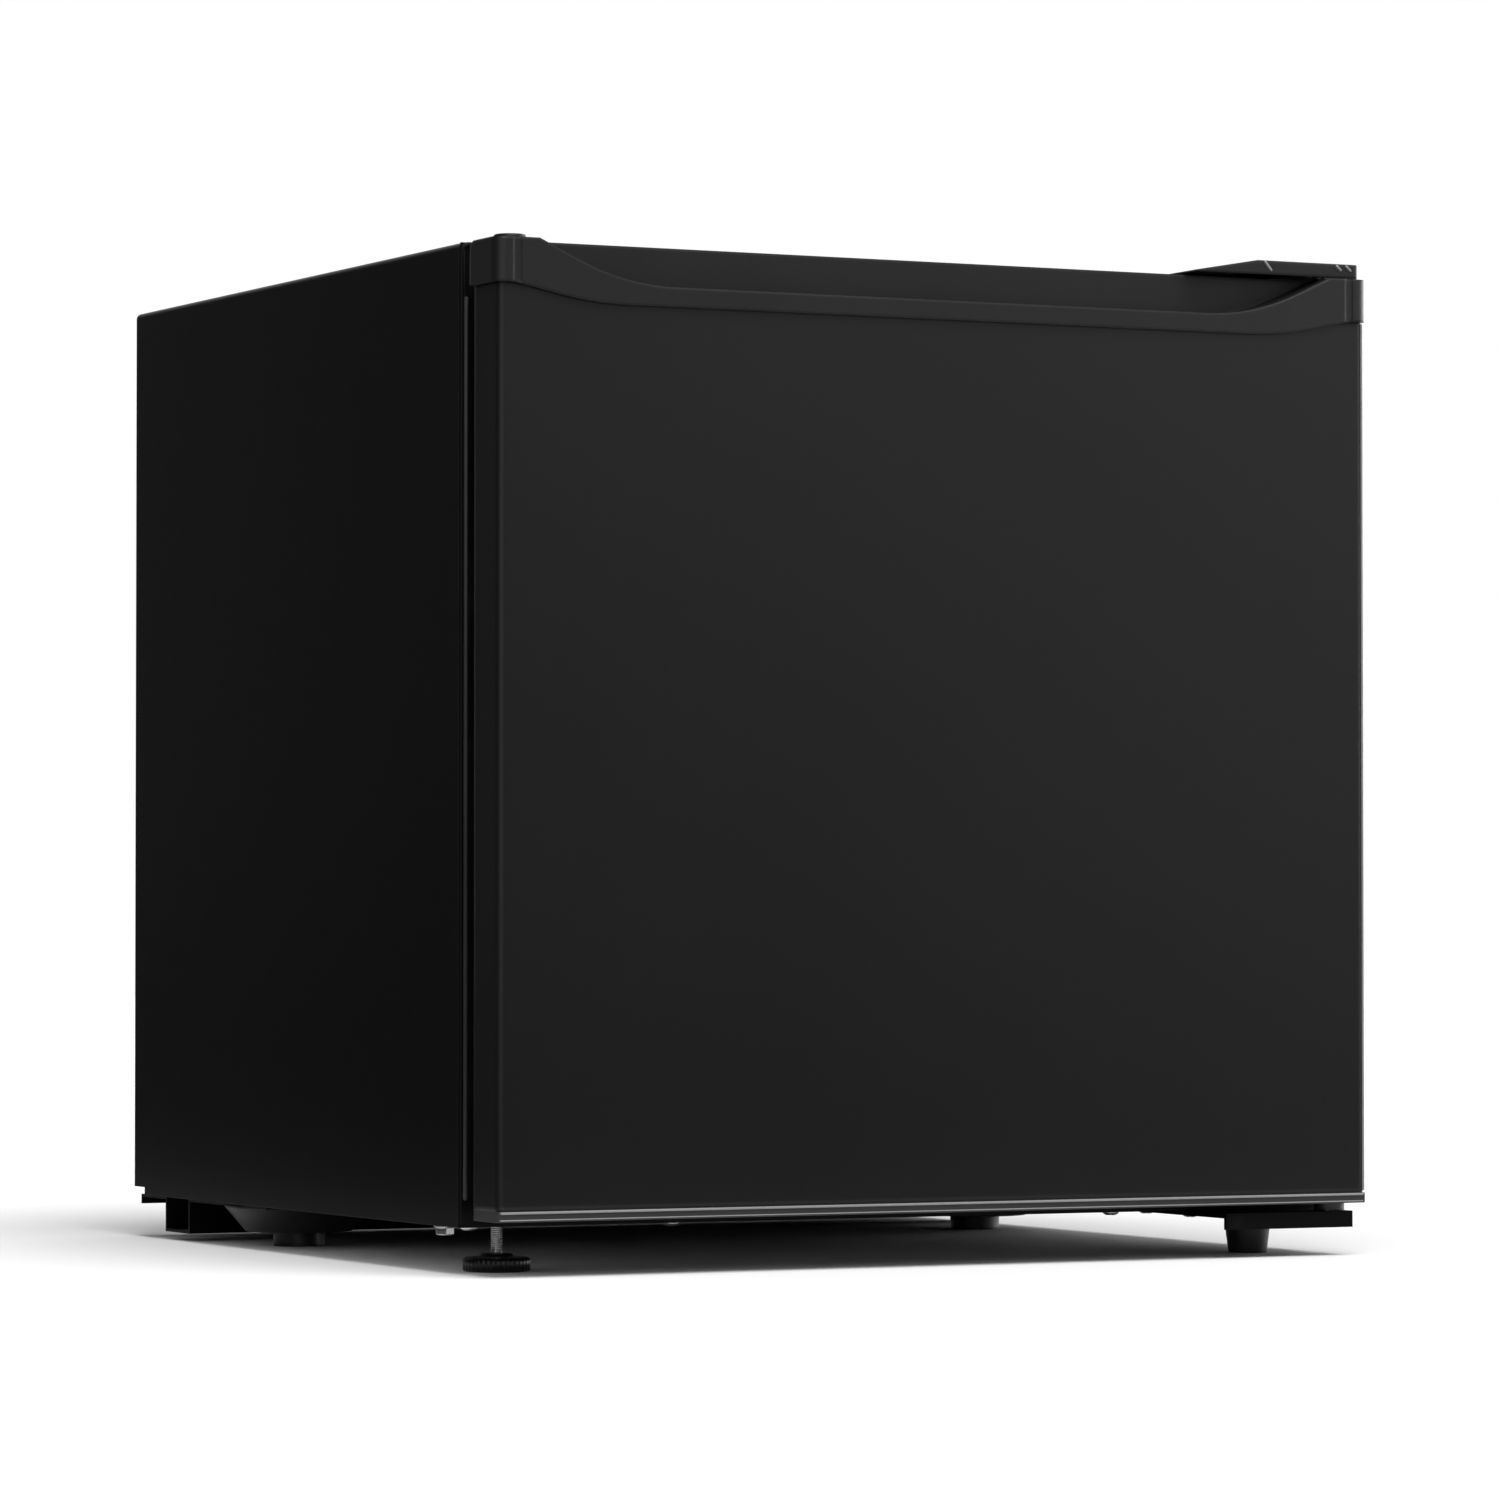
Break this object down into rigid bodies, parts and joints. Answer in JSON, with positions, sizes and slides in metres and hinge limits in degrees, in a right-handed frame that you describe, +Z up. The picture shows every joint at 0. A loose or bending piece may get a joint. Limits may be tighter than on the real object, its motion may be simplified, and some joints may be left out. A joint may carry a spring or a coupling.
{
  "type": "compact refrigerator",
  "caption": "Compact cube refrigerator with a plain dark door, a moulded recessed grip along the door's top edge, low feet and a cooling circuit on the back.",
  "frame": {"origin": "middle of the footprint's bounding box, on the floor under the feet", "axes": "+Z up, the door faces -Y, +X to the right seen from the front"},
  "size_m": [0.472, 0.47, 0.492],
  "materials": {
    "aluminium_sheet": "satin",
    "black_enamel": "satin",
    "black_painted_steel": "satin",
    "black_plastic": "satin",
    "black_steel": "satin",
    "clear_plastic": "gloss",
    "copper_pipe": "satin",
    "door_painted_steel": "satin",
    "door_seal": "matte",
    "frosted_plastic": "satin",
    "galvanised_steel": "satin",
    "insulation_foam": "matte",
    "mount_rubber": "matte",
    "nylon": "satin",
    "shelf_glass": "gloss",
    "white_liner": "satin",
    "white_plastic": "satin",
    "zinc_steel": "satin"
  },
  "bodies": {
    "cabinet": {"back_panel": "black_painted_steel", "base_plate": "black_steel", "base_screws": "zinc_steel", "bottom_hinge_bracket": "black_steel", "bottom_hinge_pin": "zinc_steel", "bottom_panel": "galvanised_steel", "box_hangers": "white_plastic", "cabinet_insulation": "insulation_foam", "capillary": "copper_pipe", "compressor_bolts": "zinc_steel", "compressor_feet": "black_enamel", "compressor_mounts": "mount_rubber", "compressor_shell": "black_enamel", "condenser_clips": "black_plastic", "condenser_outlet": "black_enamel", "condenser_tube": "black_enamel", "condenser_wires": "black_enamel", "control_housing": "white_plastic", "cooling_box": "aluminium_sheet", "cooling_box_frame": "white_plastic", "cord_gland": "black_plastic", "discharge_tube": "black_enamel", "filter_drier": "copper_pipe", "front_rail": "black_painted_steel", "front_right_foot": "black_plastic", "hinge_cover": "black_plastic", "inner_liner": "white_liner", "levelling_nut": "zinc_steel", "outer_shell": "black_painted_steel", "rear_foot_left": "black_plastic", "rear_foot_right": "black_plastic", "rear_spacers": "black_plastic", "relay_cover": "black_plastic", "sensor_tube": "copper_pipe", "suction_tube": "copper_pipe", "thermostat_switch": "galvanised_steel", "top_hinge_pin": "zinc_steel", "top_hinge_plate": "zinc_steel", "top_hinge_screws": "zinc_steel", "tray_rail_left": "aluminium_sheet", "tray_rail_right": "aluminium_sheet"},
    "door": {"door_panel": "door_painted_steel", "door_foam": "insulation_foam", "door_liner": "white_liner", "door_gasket": "door_seal", "door_top_cap": "black_plastic", "door_bottom_cap": "black_plastic", "hinge_hole_plug": "black_plastic", "upper_bushing": "nylon", "lower_bushing": "nylon", "lower_rack": "clear_plastic", "upper_rack": "clear_plastic"},
    "freezer_flap": {"freezer_flap": "frosted_plastic"},
    "drip_tray": {"drip_tray": "white_plastic"},
    "thermostat_dial": {"thermostat_dial": "white_plastic"},
    "shelf": {"shelf_glass": "shelf_glass", "shelf_trim": "white_plastic"},
    "levelling_foot": {"levelling_foot_pad": "black_plastic", "levelling_foot_stem": "zinc_steel"}
  },
  "joints": [
    {"name": "door_hinge", "type": "hinge", "parent": "cabinet", "child": "door", "pos_m": [0.222, -0.219, 0.24], "axis": [0, 0, 1], "range_deg": [0, 120]},
    {"name": "flap_hinge", "type": "hinge", "parent": "cabinet", "child": "freezer_flap", "pos_m": [-0.0815, -0.086, 0.431], "axis": [-1, 0, 0], "range_deg": [0, 85]},
    {"name": "tray_slide", "type": "slide", "parent": "cabinet", "child": "drip_tray", "axis": [0, -1, 0], "range_m": [0, 0.085]},
    {"name": "shelf_slide", "type": "slide", "parent": "cabinet", "child": "shelf", "axis": [0, -1, 0], "range_m": [0, 0.03]},
    {"name": "thermostat_turn", "type": "hinge", "parent": "cabinet", "child": "thermostat_dial", "pos_m": [0.158, -0.103, 0.409], "axis": [0, -1, 0], "range_deg": [-150, 150]},
    {"name": "levelling_foot_turn", "type": "hinge", "parent": "cabinet", "child": "levelling_foot", "pos_m": [-0.204, -0.166, 0.02], "axis": [0, 0, 1], "range_deg": [0, 360]}
  ]
}
